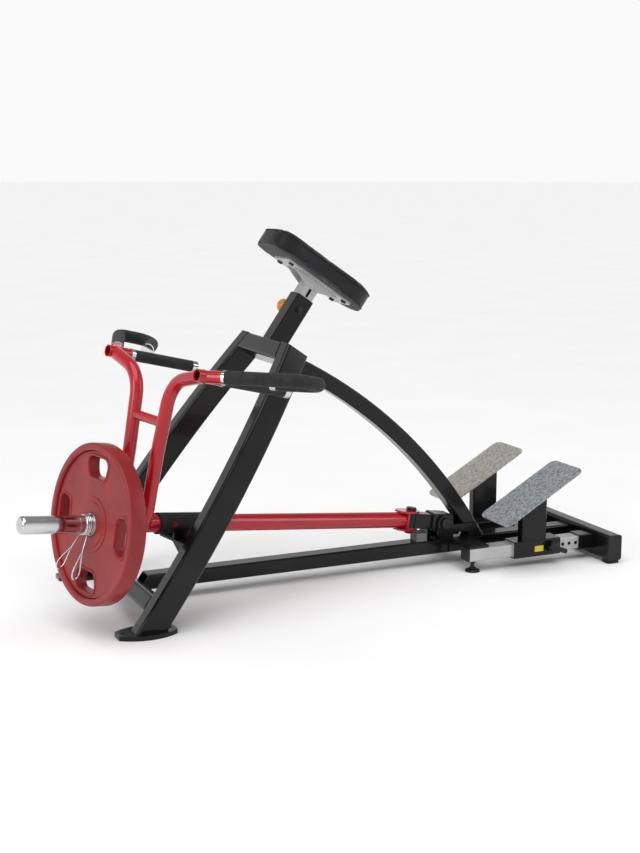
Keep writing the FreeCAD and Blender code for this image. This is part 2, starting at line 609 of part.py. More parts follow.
flange_end = S.arm_end + S.flange_thick
flange_profile = [(0, S.arm_end), (S.flange_radius, S.arm_end), (S.flange_radius, flange_end - 3),
                  (S.flange_radius - 3, flange_end), (0, flange_end)]
turned("stop_flange", flange_profile, ALONG_ARM)
plate_back = flange_end + S.plate_gap
plate_front = plate_back + S.plate_thick
coil_start = plate_front + 0.3
groove = coil_start + S.collar_length + 2
TIP_ROUND = 9
tip_radius, tip_level = S.horn_radius - TIP_ROUND, S.horn_end - TIP_ROUND
tip_angles = [math.radians(angle) for angle in range(0, 90, 10)]
horn_tip = [(tip_radius + TIP_ROUND * math.cos(a), tip_level + TIP_ROUND * math.sin(a)) for a in tip_angles]
horn_bore = S.horn_radius - S.horn_wall
groove_radius = S.horn_radius - 0.6
seat_start = groove + S.groove_width
horn_profile = [(horn_bore, flange_end), (S.horn_radius, flange_end), (S.horn_radius, groove),
                (groove_radius, groove), (groove_radius, seat_start), (S.horn_radius, seat_start)]
horn_profile += horn_tip + [(0, S.horn_end), (0, S.horn_end - 12), (horn_bore, S.horn_end - 12)]
turned("weight_horn", horn_profile, ALONG_ARM)

# ---------------------------------------------------------------- handles, in the arm's own frame


def on_arm(along, across, up):
    """A point of the arm's frame: distance along the arm from the swing pin, across and up."""
    return Vector(-along, across, up)


ARM_BODY = solid_rod(S.arm_radius, on_arm(1400, 0, 0), on_arm(0, 0, 0))
drop = math.radians(S.handle_drop)
GRIP_WAY = Vector(math.cos(drop), 0, -math.sin(drop))
UPRIGHT_BENDS = (60, 900, 92)
LOOP_BENDS = (36, 36)


def handle_point(side, reach):
    """A point on a straight handle's axis at a distance from its open front end."""
    return on_arm(S.upright_at, side * S.handle_half, S.handle_up) + GRIP_WAY * reach


def upright_route(side):
    """An upright's corners: out of the arm, up beside it, and over to its handle."""
    return [on_arm(S.upright_at, side * 8, -12), on_arm(S.upright_at, side * 71, -12),
            on_arm(S.upright_at - 11, side * 73, 205), on_arm(S.upright_at - 22, side * 88, 418),
            handle_point(side, 23)]


def loop_route(side):
    """A loop handle's corners: outwards from its stub, forwards, and back in on itself."""
    return [handle_point(side, 30), on_arm(874, side * 470, 484),
            on_arm(758, side * 447, 472), on_arm(855, side * 326, 456)]


cores, straight_grips, grip_rings = [], [], []
for name, side in SIDES:
    route, loop = upright_route(side), loop_route(side)
    stub_start, stub_end = handle_point(side, 0), handle_point(side, S.stub_length)
    grip_start = handle_point(side, S.stub_length + S.grip_collar)
    grip_end, bar_end = handle_point(side, S.handle_length - S.grip_cap), handle_point(side, S.handle_length)
    core_radius, sleeve_bore = S.core_radius, S.core_radius + 0.1

    # red tube: the upright with its open-ended stub, closed by a ring round the handle's core
    stub = solid_rod(S.stub_radius, stub_start, stub_end)
    first, last = (loop[1] - loop[0]).normalize(), (loop[3] - loop[2]).normalize()
    branch = solid_rod(S.stub_radius, loop[0], loop[0] + first * S.branch_length)
    upright = bent_bar(route, UPRIGHT_BENDS, S.upright_radius).fuse([stub, branch])
    red_tube = upright.cut(bent_bar(route, UPRIGHT_BENDS, S.upright_radius - S.core_wall)).cut(ARM_BODY)
    plug_start = handle_point(side, S.stub_length - 12)
    stub_bore = solid_rod(S.stub_radius - S.core_wall, handle_point(side, -5), plug_start)
    branch_bore = solid_rod(core_radius - S.core_wall, loop[0] + first * 24, loop[1])
    red_tube = red_tube.cut([stub_bore, branch_bore, solid_rod(core_radius, stub_start, bar_end)])
    feature(f"{name}_upright", red_tube, ARM)

    # straight handle: hidden core, chrome ring, foam grip, chrome end cap
    cores.append(ring(core_radius - S.core_wall, core_radius, plug_start, grip_end))
    grip_rings.append(ring(sleeve_bore, S.stub_radius + 1, stub_end, grip_start))
    straight_grips.append(ring(sleeve_bore, S.grip_radius, grip_start, grip_end))
    grip_rings.append(solid_rod(S.grip_radius + 0.5, grip_end, bar_end))

    # loop handle: the same pieces along a bent route
    core_body = bent_bar(loop, LOOP_BENDS, sleeve_bore)
    loop_core = bent_bar(loop, LOOP_BENDS, core_radius)
    loop_core = loop_core.cut(bent_bar(loop, LOOP_BENDS, core_radius - S.core_wall))
    cores.append(loop_core.cut(upright))
    ring_start = loop[0] + first * S.branch_length
    foam_start, foam_end = ring_start + first * 8, loop[3] - last * S.grip_collar
    foam = bent_bar([foam_start, loop[1], loop[2], foam_end], LOOP_BENDS, S.loop_grip_radius)
    feature(f"{name}_loop_grip", foam.cut(core_body), ARM)
    loop_ring = solid_rod(S.loop_grip_radius + 0.5, ring_start, foam_start)
    grip_rings.append(loop_ring.cut(core_body).cut(upright))
    closed_end = solid_rod(S.loop_grip_radius, foam_end, loop[3] + last * 4)
    grip_rings.append(closed_end.cut(solid_rod(sleeve_bore, foam_end, loop[3])))
feature("handle_cores", Part.makeCompound(cores), ARM)
feature("straight_grips", Part.makeCompound(straight_grips), ARM)
feature("grip_rings", Part.makeCompound(grip_rings), ARM)

bar_at = S.upright_at - 16
bar_ends = [on_arm(bar_at, side * 95, S.crossbar_up) for name, side in SIDES]
crossbar = solid_rod(S.crossbar_radius, *bar_ends)
for name, side in SIDES:
    crossbar = crossbar.cut(bent_bar(upright_route(side), UPRIGHT_BENDS, S.upright_radius))
feature("upright_crossbar", max(crossbar.Solids, key=lambda solid: solid.Volume), ARM)

# ---------------------------------------------------------------- weight plate and spring collar

hub, web, rim = 62, 198, S.plate_radius
front_half = [(S.plate_bore, -2), (hub, -2), (hub + 6, -8), (web - 8, -8), (web, 0), (rim - 6, 0), (rim, -6)]
back_half = [(radius, 1 - depth) for radius, depth in front_half]
plate_profile = [(radius, plate_front + depth) for radius, depth in front_half]
plate_profile += [(radius, plate_back - 1 + depth) for radius, depth in reversed(back_half)]
plate = turned("weight_plate", plate_profile, ALONG_ARM)
window_low, window_high = S.window_inner, S.window_outer
window_corners = [(window_low, -S.window_narrow), (window_high, -S.window_wide),
                  (window_high, S.window_wide), (window_low, S.window_narrow)]
grip_window = pocketed(plate, "grip_window", rounded_polygon(window_corners, 20))
around = plate.newObject("PartDesign::PolarPattern", "grip_windows")
around.Originals = [grip_window]
around.Axis = (grip_window.Profile[0], ["N_Axis"])
around.Angle = 360
around.Occurrences = 4
plate.Tip = around

coil_end = coil_start + S.collar_length
coil = ring(S.horn_radius + 0.1, S.collar_radius, on_arm(coil_start, 0, 0), on_arm(coil_end, 0, 0))
clip = [coil]
coil_body = solid_rod(S.collar_radius, on_arm(1300, 0, 0), on_arm(1100, 0, 0))
for along, tip_point in ((27, on_arm(1270, -22, -112)), (8, on_arm(1205, -8, -152))):
    root = on_arm(coil_start + along, -4, -29)
    way = (tip_point - root).normalize()
    finger_loop = [root - Y * 9, tip_point - Y * 11, tip_point + Y * 11, root + Y * 9 + way * 30]
    clip.append(bent_bar(finger_loop, (10.9, 10.9), S.wire_radius).cut(coil_body))
feature("spring_collar", Part.makeCompound(clip), ARM)

# ---------------------------------------------------------------- cradle on the left leg

cradle_x = (-S.cradle_end, -S.cradle_start)
shelf = solid_box(cradle_x, (-130, 30), (-S.shelf_low, -S.lining_low))
shelf = shelf.fuse(solid_box(cradle_x, (-44, -38), (-S.lining_low, -6)))
web_x = -(S.cradle_start + S.cradle_end) / 2 + 3
web_outline = ((-130, -S.shelf_low), (20, -S.shelf_low), (-60, -95), (-130, -95))
web_corners = [Vector(web_x, y, z) for y, z in web_outline]
shelf = shelf.fuse(plate_of(web_corners, -X * 6))
left_leg = leg_body(-1)
left_leg.Placement = ARM.inverse().multiply(LEAN)
feature("cradle_bracket", max(shelf.cut(left_leg).Solids, key=lambda solid: solid.Volume), ARM)
lining_x = (-S.cradle_end + 2, -S.cradle_start - 2)
lining = solid_box(lining_x, (-38, 28), (-S.lining_low, -S.lining_top))
lining = lining.fuse(solid_box(lining_x, (-38, -31.4), (-S.lining_top, -8)))
feature("cradle_lining", lining.removeSplitter(), ARM)

# ---------------------------------------------------------------- adjustable foot supports

RAIL_Z = ("foot_rail_low", "foot_rail_high")


def round_rail(x, middle, clear):
    """A box round a foot rail between two stations, standing clear of it by the same gap all round."""
    half = S.foot_rail_half + clear
    levels = (S.foot_rail_low - clear, S.foot_rail_high + clear)
    return solid_box(x, (middle - half, middle + half), levels)


notch_end = S.pivot_x + S.ear_radius + 0.5
around_pedestal = solid_box((S.pivot_x, notch_end), (-44.5, 44.5), (S.foot_rail_high, S.rail_high + 20))
tube_caps, rail_mounts = [], []
for name, side in SIDES:
    middle = side * S.foot_rail_y
    rail_y = (f"{side} * foot_rail_y - foot_rail_half", f"{side} * foot_rail_y + foot_rail_half")
    rail_x = ("foot_rail_start + foot_rail_cap", "rail_end")
    outward = "y" if side > 0 else "-y"
    rail = tube(f"{name}_rail", "x", rail_x, rail_y, RAIL_Z, S.tube_wall, 4)
    holes = []
    for number in range(8):
        start = (f"hole_start + {number} * hole_pitch", f"{side} * foot_rail_y", "pin_level")
        holes.append(rod(f"{name}_rail_hole_{number}", "hole_radius", "foot_rail_half + 2", start, outward))
    stem_start = ("levelling_x", f"{side} * foot_rail_y", "foot_rail_low - 1")
    stem_hole = rod(f"{name}_stem_hole", "levelling_stem + 0.5", "10", stem_start)
    keep(f"{name}_foot_rail", cut(f"{name}_foot_rail", rail, stem_hole, *holes))

    # black end caps on the rail's free end and on the rear cross tube
    cap_x = ("foot_rail_start", "foot_rail_start + foot_rail_cap")
    rail_cap = block(f"{name}_rail_cap", cap_x, rail_y, RAIL_Z)
    rear_y = (f"{side} * rear_half + {min(0, side) * 6}", f"{side} * rear_half + {max(0, side) * 6}")
    rear_cap = block(f"{name}_rear_cap", REAR_X, rear_y, ("rear_low", "rear_high"))
    tube_caps.append(rounded(f"{name}_rail_cap", rail_cap, 4, "x"))
    tube_caps.append(rounded(f"{name}_rear_cap", rear_cap, 9, "y"))

    # welded bracket from the base rail over the foot rail, and the socket at its rear end
    bracket_x = (S.foot_rail_start + 2.5, S.foot_rail_start + S.bracket_long)
    root_y = side * S.rail_half
    plate_y = (root_y, middle + side * S.foot_rail_half)
    bracket = solid_box(bracket_x, plate_y, (S.foot_rail_high, S.foot_rail_high + 8)).cut(around_pedestal)
    flange = solid_box(bracket_x, (root_y, root_y + side * 6), (S.rail_low + 4, S.foot_rail_high))
    rail_mounts.append(bracket.fuse(flange).removeSplitter())
    socket = round_edges(round_rail((S.socket_start, S.rail_end), middle, 4.1), 4, X)
    rail_mounts.append(socket.cut(round_rail((S.socket_start - 1, S.rail_end + 1), middle, 0.1)))

    # levelling foot: a turned disc with its threaded stem
    foot_radius, stem_radius = S.levelling_radius, S.levelling_stem
    foot_profile = [(0, 0), (foot_radius, 0), (foot_radius, 4), (foot_radius - 5, 8), (10, 10)]
    foot_profile += [(10, 14), (stem_radius, 14), (stem_radius, 60), (stem_radius - 1, 61), (0, 61)]
    turned(f"{name}_levelling_foot", foot_profile, Placement(Vector(S.levelling_x, middle, 0), Rotation()))

    # carriage: a sleeve on nylon liners, with the riser and tread welded on
    pin_at = Vector(S.foot_pin_x, middle, S.pin_level)
    pin_out = pin_at + Y * side * 60
    face = S.foot_rail_half + S.liner + S.carriage_wall
    top = S.foot_rail_high + S.liner + S.carriage_roof
    bottom = S.foot_rail_low - S.liner - S.carriage_floor
    sleeve = solid_box((S.carriage_start, S.carriage_end), (middle - face, middle + face), (bottom, top))
    sleeve = round_edges(sleeve, 4, X).cut(solid_rod(8.1, pin_at, pin_out))
    sleeve = sleeve.cut(round_rail((S.carriage_start - 1, S.carriage_end + 1), middle, S.liner))
    housing = ring(5.1, 8, pin_at + Y * side * (face - 5.8), pin_at + Y * side * face)
    housing = housing.fuse(ring(5.1, 13, pin_at + Y * side * face, pin_at + Y * side * (face + 7)))
    feature(f"{name}_carriage", Part.makeCompound([sleeve, housing]))
    liners = []
    for start in (S.carriage_start, S.carriage_end - S.liner_long):
        end = start + S.liner_long
        liner = round_rail((start, end), middle, S.liner)
        liner = liner.cut(round_rail((start - 1, end + 1), middle, S.running_gap))
        liners.append(liner.cut(solid_rod(9, pin_at, pin_out)))
    feature(f"{name}_carriage_liners", Part.makeCompound(liners))

    tread_frame = Placement(Vector(S.tread_x, side * S.tread_y, S.tread_z), Rotation(Y, -S.tread_slope))
    riser_y = (middle + side * face, middle + side * (face - S.riser_width))
    riser = round_edges(solid_box((S.riser_start, S.riser_end), riser_y, (top, 400)), 6, Z)
    bore_x, bore_y = (S.riser_start + 3, S.riser_end - 3), (min(riser_y) + 3, max(riser_y) - 3)
    riser_bore = solid_box(bore_x, bore_y, (top - 1, 401))
    riser = riser.cut(riser_bore)
    above_tread = solid_box((-500, 1500), (-500, 500), (-S.tread_thick, 1000))
    above_tread.Placement = tread_frame
    feature(f"{name}_riser", riser.cut(above_tread))
    tread_outline = rounded_polygon(rectangle(0, S.tread_length, S.tread_half), S.tread_corner)
    tread_seat = tread_frame.multiply(Placement(-Z * S.tread_thick, Rotation()))
    keep(f"{name}_foot_tread", padded(f"{name}_tread", tread_outline, "tread_thick", tread_seat))

    # sprung pull pin with a turned knob and a short release lever
    pin_tip = S.foot_rail_half + 0.4
    knob_profile = [(0, pin_tip), (5, pin_tip), (5, face + 9), (16, face + 9), (18, face + 12),
                    (18, face + 21), (14, face + 26), (0, face + 26), (0, pin_tip)]
    knob = Part.Face(Part.makePolygon([Vector(radius, 0, height) for radius, height in knob_profile]))
    knob = knob.revolve(Vector(), Z, 360)
    lever_end = Vector(46, 0, face + 11)
    lever = solid_box((0, 46), (-8, 8), (face + 11, face + 19))
    lever = lever.fuse(solid_rod(8, lever_end, lever_end + Z * 8))
    lever.rotate(Vector(), Z, side * 20)
    feature(f"{name}_pin_knob", knob.fuse(lever).removeSplitter(), Placement(pin_at, TURN_TO[outward]))
keep("tube_end_caps", group("tube_end_caps", *tube_caps))
feature("rail_mounts", Part.makeCompound(rail_mounts))

# ---------------------------------------------------------------- check and write

doc.recompute()
problems = [f"{item.Name}: {item.State}" for item in doc.Objects if {"Invalid", "Error"} & set(item.State)]
for label, item in NODES.items():
    if item.Shape.isNull() or not item.Shape.isValid():
        problems.append(f"{label}: shape is null or not valid")
    elif not item.Shape.Solids:
        problems.append(f"{label}: no solid")
if problems:
    raise RuntimeError("\n".join(problems))
os.makedirs("parts", exist_ok=True)
for label, item in NODES.items():
    item.Shape.exportStep(f"parts/{label}.step")
print(len(NODES), "sub-parts written")
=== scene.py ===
import json
import math

import bmesh
import bpy
from mathutils import Matrix, Vector


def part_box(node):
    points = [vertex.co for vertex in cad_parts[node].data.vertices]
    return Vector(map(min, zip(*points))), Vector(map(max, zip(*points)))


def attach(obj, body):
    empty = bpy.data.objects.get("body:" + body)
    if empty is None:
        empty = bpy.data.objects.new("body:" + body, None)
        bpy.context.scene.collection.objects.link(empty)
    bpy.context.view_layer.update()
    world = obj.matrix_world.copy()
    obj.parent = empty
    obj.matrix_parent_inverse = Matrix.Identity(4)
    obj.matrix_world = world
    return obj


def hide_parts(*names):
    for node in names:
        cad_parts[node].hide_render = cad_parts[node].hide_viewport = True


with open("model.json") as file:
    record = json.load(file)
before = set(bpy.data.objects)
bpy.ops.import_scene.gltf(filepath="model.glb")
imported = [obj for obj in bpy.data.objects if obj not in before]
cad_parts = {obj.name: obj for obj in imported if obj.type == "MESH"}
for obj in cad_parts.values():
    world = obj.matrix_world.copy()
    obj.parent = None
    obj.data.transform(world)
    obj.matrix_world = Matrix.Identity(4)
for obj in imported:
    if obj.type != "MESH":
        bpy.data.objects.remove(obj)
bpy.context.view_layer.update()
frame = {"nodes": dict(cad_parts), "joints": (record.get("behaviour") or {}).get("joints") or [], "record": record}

MM = 0.001
NODES = frame["nodes"]
JOINTS = {joint["name"]: joint for joint in frame["joints"]}
SIDES = (("left", -1), ("right", 1))
SIDEWAYS = Vector((0, 1, 0))

# ---------------------------------------------------------------- places read from the frame

ARM_OUT = Vector(JOINTS["plate_slide"]["axis"]).normalized()
ARM_UP = -Vector(JOINTS["arm_swing"]["axis"]).normalized()
ARM_ACROSS = ARM_OUT.cross(ARM_UP)
ARM_PIN = Vector(JOINTS["arm_swing"]["pos_m"])
PAD_UP = Vector(JOINTS["pad_height"]["axis"]).normalized()
PAD_ALONG = SIDEWAYS.cross(PAD_UP)


def arm_point(along, across, up):
    """A point given by its distance along the arm from the swing pin, across it and above it."""
    return ARM_PIN + ARM_OUT * along + ARM_ACROSS * across + ARM_UP * up


def reach(node, origin, axis):
    """The lowest and highest distance of a node's mesh along an axis from an origin."""
    spans = [(vertex.co - origin).dot(axis) for vertex in NODES[node].data.vertices]
    return min(spans), max(spans)


def centre_of(node):
    """The middle of a node's box."""
    low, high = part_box(node)
    return (low + high) / 2


# ---------------------------------------------------------------- materials


def link(tree, start, end):
    tree.links.new(start, end)


def noise(tree, scale):
    """A noise texture in the object's own metres."""
    coords = tree.nodes.new("ShaderNodeTexCoord")
    texture = tree.nodes.new("ShaderNodeTexNoise")
    texture.inputs["Scale"].default_value = scale
    texture.inputs["Detail"].default_value = 4.0
    link(tree, coords.outputs["Object"], texture.inputs["Vector"])
    return texture.outputs["Fac"]


def cells(tree, scale):
    """A Voronoi texture in the object's own metres."""
    coords = tree.nodes.new("ShaderNodeTexCoord")
    texture = tree.nodes.new("ShaderNodeTexVoronoi")
    texture.inputs["Scale"].default_value = scale
    link(tree, coords.outputs["Object"], texture.inputs["Vector"])
    return texture.outputs["Distance"]


def ramp(tree, factor, low, high, start=0.35, end=0.65):
    """Two colours blended across the middle of a texture's range."""
    node = tree.nodes.new("ShaderNodeValToRGB")
    node.color_ramp.elements[0].position = start
    node.color_ramp.elements[1].position = end
    node.color_ramp.elements[0].color = (*low, 1)
    node.color_ramp.elements[1].color = (*high, 1)
    link(tree, factor, node.inputs["Fac"])
    return node.outputs["Color"]


def spread(tree, factor, low, high):
    """A number that follows a texture between two limits."""
    node = tree.nodes.new("ShaderNodeMapRange")
    node.inputs["From Min"].default_value = 0.3
    node.inputs["From Max"].default_value = 0.7
    node.inputs["To Min"].default_value = low
    node.inputs["To Max"].default_value = high
    link(tree, factor, node.inputs["Value"])
    return node.outputs["Result"]


def material(name, colours, patch, rough, grain, depth, cellular=False, **constants):
    """A material with two close colours in patches, uneven roughness and a fine grain in its surface.

    patch and grain are texture scales, rough is the range of the roughness, depth is the grain's depth in
    metres, and constants are set on the shader's sockets.
    """
    made = bpy.data.materials.new(name)
    made.use_nodes = True
    tree = made.node_tree
    shader = tree.nodes["Principled BSDF"]
    for socket, value in constants.items():
        shader.inputs[socket.replace("_", " ")].default_value = value
    link(tree, ramp(tree, noise(tree, patch), *colours), shader.inputs["Base Color"])
    link(tree, spread(tree, noise(tree, patch * 2.3), *rough), shader.inputs["Roughness"])
    bump = tree.nodes.new("ShaderNodeBump")
    bump.inputs["Distance"].default_value = depth
    bump.inputs["Strength"].default_value = 0.6
    link(tree, cells(tree, grain) if cellular else noise(tree, grain), bump.inputs["Height"])
    link(tree, bump.outputs["Normal"], shader.inputs["Normal"])
    return made


def grey(level, tint=0.0):
    """A grey with a little more blue in it by a share."""
    return (level, level, level * (1 + tint))


FRAME_BLACK = material(
    "gloss_black_powder_coat", [grey(0.004, 0.1), grey(0.008, 0.15)], patch=6, rough=(0.16, 0.24),
    grain=420, depth=0.0001, Specular_IOR_Level=0.2, Coat_Weight=0.16, Coat_Roughness=0.04)
ARM_RED = material(
    "gloss_red_powder_coat", [(0.34, 0.003, 0.009), (0.42, 0.005, 0.013)], patch=5, rough=(0.18, 0.26),
    grain=420, depth=0.0001, Specular_IOR_Level=0.3, Coat_Weight=0.45, Coat_Roughness=0.04)
CHROME = material(
    "polished_chrome", [grey(0.56, 0.02), grey(0.66, 0.02)], patch=14, rough=(0.04, 0.09), grain=900,
    depth=0.00001, Metallic=1.0)
FOAM = material(
    "black_grip_foam", [grey(0.014), grey(0.024)], patch=60, rough=(0.72, 0.86), grain=1500,
    depth=0.0004, cellular=True, Sheen_Weight=0.08, Sheen_Roughness=0.5, Specular_IOR_Level=0.25)
VINYL = material(
    "black_upholstery_vinyl", [grey(0.006, 0.15), grey(0.010, 0.2)], patch=9, rough=(0.36, 0.48),
    grain=620, depth=0.0005, cellular=True, Sheen_Weight=0.02, Specular_IOR_Level=0.24)
BOARD = material(
    "grey_backing_cloth", [grey(0.045), grey(0.07)], patch=70, rough=(0.7, 0.85), grain=1400,
    depth=0.0003)
SILVER = material(
    "satin_silver_paint", [grey(0.42, 0.02), grey(0.50, 0.02)], patch=12, rough=(0.36, 0.46),
    grain=1200, depth=0.00006, Metallic=0.35, Coat_Weight=0.1)
# The two foot plates' treads are two copies of one galvanised steel: the left one darker and bluer, the right one
# paler and warmer.
TREAD = {
    "left": material(
        "galvanised_tread", [(0.13, 0.15, 0.17), (0.36, 0.38, 0.39)], patch=110, rough=(0.42, 0.60),
        grain=700, depth=0.0003, Metallic=0.25),
    "right": material(
        "paler_warmer_galvanised_tread", [(0.25, 0.24, 0.215), (0.44, 0.43, 0.39)], patch=110,
        rough=(0.42, 0.60), grain=700, depth=0.0003, Metallic=0.25),
}
PLATE_RED = material(
    "red_moulded_rubber", [(0.21, 0.011, 0.013), (0.26, 0.016, 0.018)], patch=11, rough=(0.34, 0.46),
    grain=900, depth=0.00025, Specular_IOR_Level=0.3, Coat_Weight=0.10, Coat_Roughness=0.25)
RUBBER = material(
    "black_moulded_rubber", [grey(0.010), grey(0.016)], patch=30, rough=(0.60, 0.74), grain=1100,
    depth=0.0003, Specular_IOR_Level=0.3)
GREY_RUBBER = material(
    "grey_moulded_rubber", [grey(0.12), grey(0.17)], patch=30, rough=(0.62, 0.76), grain=1100,
    depth=0.0003)
PLASTIC = material(
    "black_moulded_plastic", [grey(0.008), grey(0.013)], patch=25, rough=(0.34, 0.46), grain=1300,
    depth=0.0001, Specular_IOR_Level=0.3)
ORANGE = material(
    "amber_ball_plastic", [(0.66, 0.20, 0.003), (0.78, 0.28, 0.005)], patch=40, rough=(0.12, 0.2),
    grain=500, depth=0.00003, Specular_IOR_Level=0.3, Coat_Weight=0.6, Coat_Roughness=0.04)
FASTENER = material(
    "black_oxide_steel", [grey(0.015), grey(0.03)], patch=120, rough=(0.34, 0.48), grain=1600,
    depth=0.0001, Metallic=0.6)
SCREW_RED = material(
    "dark_red_screws", [(0.24, 0.006, 0.01), (0.3, 0.01, 0.014)], patch=90, rough=(0.3, 0.4), grain=900,
    depth=0.0001)
STEEL = material(
    "zinc_plated_steel", [grey(0.40), grey(0.50)], patch=60, rough=(0.26, 0.38), grain=1500,
    depth=0.00008, Metallic=1.0)
BRONZE = material(
    "oiled_bronze", [(0.42, 0.26, 0.09), (0.52, 0.34, 0.13)], patch=80, rough=(0.3, 0.42), grain=1500,
    depth=0.00008, Metallic=1.0)
NYLON = material(
    "natural_nylon", [(0.60, 0.59, 0.55), (0.68, 0.67, 0.63)], patch=40, rough=(0.42, 0.52), grain=900,
    depth=0.00006)
LABEL = material(
    "yellow_scale_label", [(0.62, 0.48, 0.01), (0.70, 0.55, 0.03)], patch=60, rough=(0.35, 0.45),
    grain=900, depth=0.00004)

SLOT_MATERIALS = {
    "frame_black": FRAME_BLACK, "arm_red": ARM_RED, "chrome": CHROME, "grip_foam": FOAM, "pad_vinyl": VINYL,
    "board_black": BOARD, "silver_paint": SILVER, "tread_steel": TREAD["left"], "plate_red": PLATE_RED,
    "rubber_black": RUBBER, "rubber_grey": GREY_RUBBER, "plastic_black": PLASTIC, "knob_orange": ORANGE,
    "fastener_black": FASTENER, "screw_red": SCREW_RED, "steel": STEEL, "bush_bronze": BRONZE, "nylon": NYLON,
}
for entry in frame["record"]["subparts"]:
    mesh = NODES[entry["node"]].data
    mesh.materials.clear()
    mesh.materials.append(SLOT_MATERIALS[entry["material_slot"]])
NODES["right_foot_tread"].data.materials[0] = TREAD["right"]

# ---------------------------------------------------------------- building pieces

RING_STEPS = 96
CORNER_STEPS = 6


def soften(mesh, angle=math.radians(35)):
    """Smooth shading, with the edges sharper than an angle kept crisp."""
    shape = bmesh.new()
    shape.from_mesh(mesh)
    for face in shape.faces:
        face.smooth = True
    for edge in shape.edges:
        edge.smooth = len(edge.link_faces) == 2 and edge.calc_face_angle() < angle
    shape.to_mesh(mesh)
    shape.free()


def piece(name, mesh, surface, body, stands_for=()):
    """A finished mesh as a piece that rides on a body."""
    made = bpy.data.objects.new(name, mesh)
    bpy.context.scene.collection.objects.link(made)
    mesh.materials.clear()
    mesh.materials.append(surface)
    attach(made, body)
    if stands_for:
        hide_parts(*stands_for)
    return made


def mesh_of(made):
    """The mesh that an object's curve or modifiers give, with the object removed."""
    bpy.context.view_layer.update()
    evaluated = made.evaluated_get(bpy.context.evaluated_depsgraph_get())
    mesh = bpy.data.meshes.new_from_object(evaluated)
    bpy.data.objects.remove(made)
    return mesh


def joined(name, meshes):
    """Several meshes as one."""
    shape = bmesh.new()
    for mesh in meshes:
        shape.from_mesh(mesh)
    whole = bpy.data.meshes.new(name)
    shape.to_mesh(whole)
    shape.free()
    return whole


def slab(outlines, thickness, bevel):
    """A plate in the XY plane with rounded edges, from closed outlines; inner ones are holes."""
    curve = bpy.data.curves.new("slab", "CURVE")
    curve.dimensions = "2D"
    curve.fill_mode = "BOTH"
    curve.extrude = thickness / 2 - bevel
    curve.bevel_depth = bevel
    curve.bevel_resolution = 3
    curve.offset = -bevel
    for outline in outlines:
        spline = curve.splines.new("POLY")
        spline.points.add(len(outline) - 1)
        for point, (x, y) in zip(spline.points, outline):
            point.co = (x, y, 0, 1)
        spline.use_cyclic_u = True
    made = bpy.data.objects.new("slab", curve)
    bpy.context.scene.collection.objects.link(made)
    mesh = mesh_of(made)
    bpy.data.curves.remove(curve)
    return mesh


def wire(points, radius, cyclic=False):
    """A round wire along a smooth curve through a route's control points."""
    curve = bpy.data.curves.new("wire", "CURVE")
    curve.dimensions = "3D"
    curve.bevel_depth = radius
    curve.bevel_resolution = 4
    curve.use_fill_caps = True
    spline = curve.splines.new("NURBS")
    spline.points.add(len(points) - 1)
    for control, place in zip(spline.points, points):
        control.co = (*place, 1)
    spline.order_u = 4
    spline.use_endpoint_u = not cyclic
    spline.use_cyclic_u = cyclic
    spline.resolution_u = 6
    made = bpy.data.objects.new("wire", curve)
    bpy.context.scene.collection.objects.link(made)
    mesh = mesh_of(made)
    bpy.data.curves.remove(curve)
    soften(mesh)
    return mesh


def ring_points(radius):
    """A circle as a closed outline."""
    steps = [2 * math.pi * n / RING_STEPS for n in range(RING_STEPS)]
    return [(radius * math.cos(a), radius * math.sin(a)) for a in steps]


def rounded_outline(corners, radius):
    """A closed outline with each corner replaced by a round of the given radius."""
    outline = []
    points = [Vector(corner) for corner in corners]
    for before, corner, after in zip(points[-1:] + points[:-1], points, points[1:] + points[:1]):
        inward, outward = (before - corner).normalized(), (after - corner).normalized()
        half = inward.angle(outward) / 2
        centre = corner + (inward + outward).normalized() * radius / math.sin(half)
        start = corner + inward * radius / math.tan(half) - centre
        end = corner + outward * radius / math.tan(half) - centre
        for n in range(CORNER_STEPS + 1):
            share = n / CORNER_STEPS
            spoke = (start * (1 - share) + end * share).normalized() * radius
            outline.append(tuple(centre + spoke))
    return outline


# ---------------------------------------------------------------- weight plate

DISC_ORIGIN = centre_of("weight_plate")
DISC = Matrix((ARM_UP, -ARM_ACROSS, ARM_OUT)).transposed().to_4x4()
DISC.translation = DISC_ORIGIN
plate_radius = max(reach("weight_plate", DISC_ORIGIN, ARM_UP))
plate_half = max(reach("weight_plate", DISC_ORIGIN, ARM_OUT))
WEB_DROP = 9 * MM
web_half = plate_half - WEB_DROP
# The radii of the rim, the web and the rings round the hub, and how far their thickness differs from
# the whole plate's (drop) or the web's (rise).
RIM_INSIDE = plate_radius * 0.905
WEB_OUTSIDE, WEB_INSIDE = plate_radius * 0.9, 40 * MM
BOSS_OUTSIDE, BOSS_INSIDE, BOSS_DROP = 66 * MM, 31 * MM, 8 * MM
STEP_OUTSIDE, STEP_INSIDE, STEP_RISE = 78 * MM, 50 * MM, 5 * MM
HUB_OUTSIDE, HUB_INSIDE, HUB_DROP = 31.5 * MM, 25.15 * MM, 5 * MM
# A grip window's inner and outer edge, their half lengths, its corners and the raised lip round it.
WINDOW_INNER, WINDOW_OUTER = 130 * MM, 186 * MM
WINDOW_NARROW, WINDOW_WIDE, WINDOW_CORNER = 44 * MM, 57 * MM, 20 * MM
WINDOW_LIP, LIP_RISE = 9 * MM, 6 * MM


def window_outline(turn, grow):
    """One grip window's outline, turned to its place, grown by a margin."""
    inner, outer = WINDOW_INNER - grow, WINDOW_OUTER + grow
    narrow, wide = WINDOW_NARROW + grow, WINDOW_WIDE + grow
    corners = [(inner, -narrow), (outer, -wide), (outer, wide), (inner, narrow)]
    turned = Matrix.Rotation(turn, 2)
    return [tuple(turned @ Vector(point)) for point in rounded_outline(corners, WINDOW_CORNER + grow)]


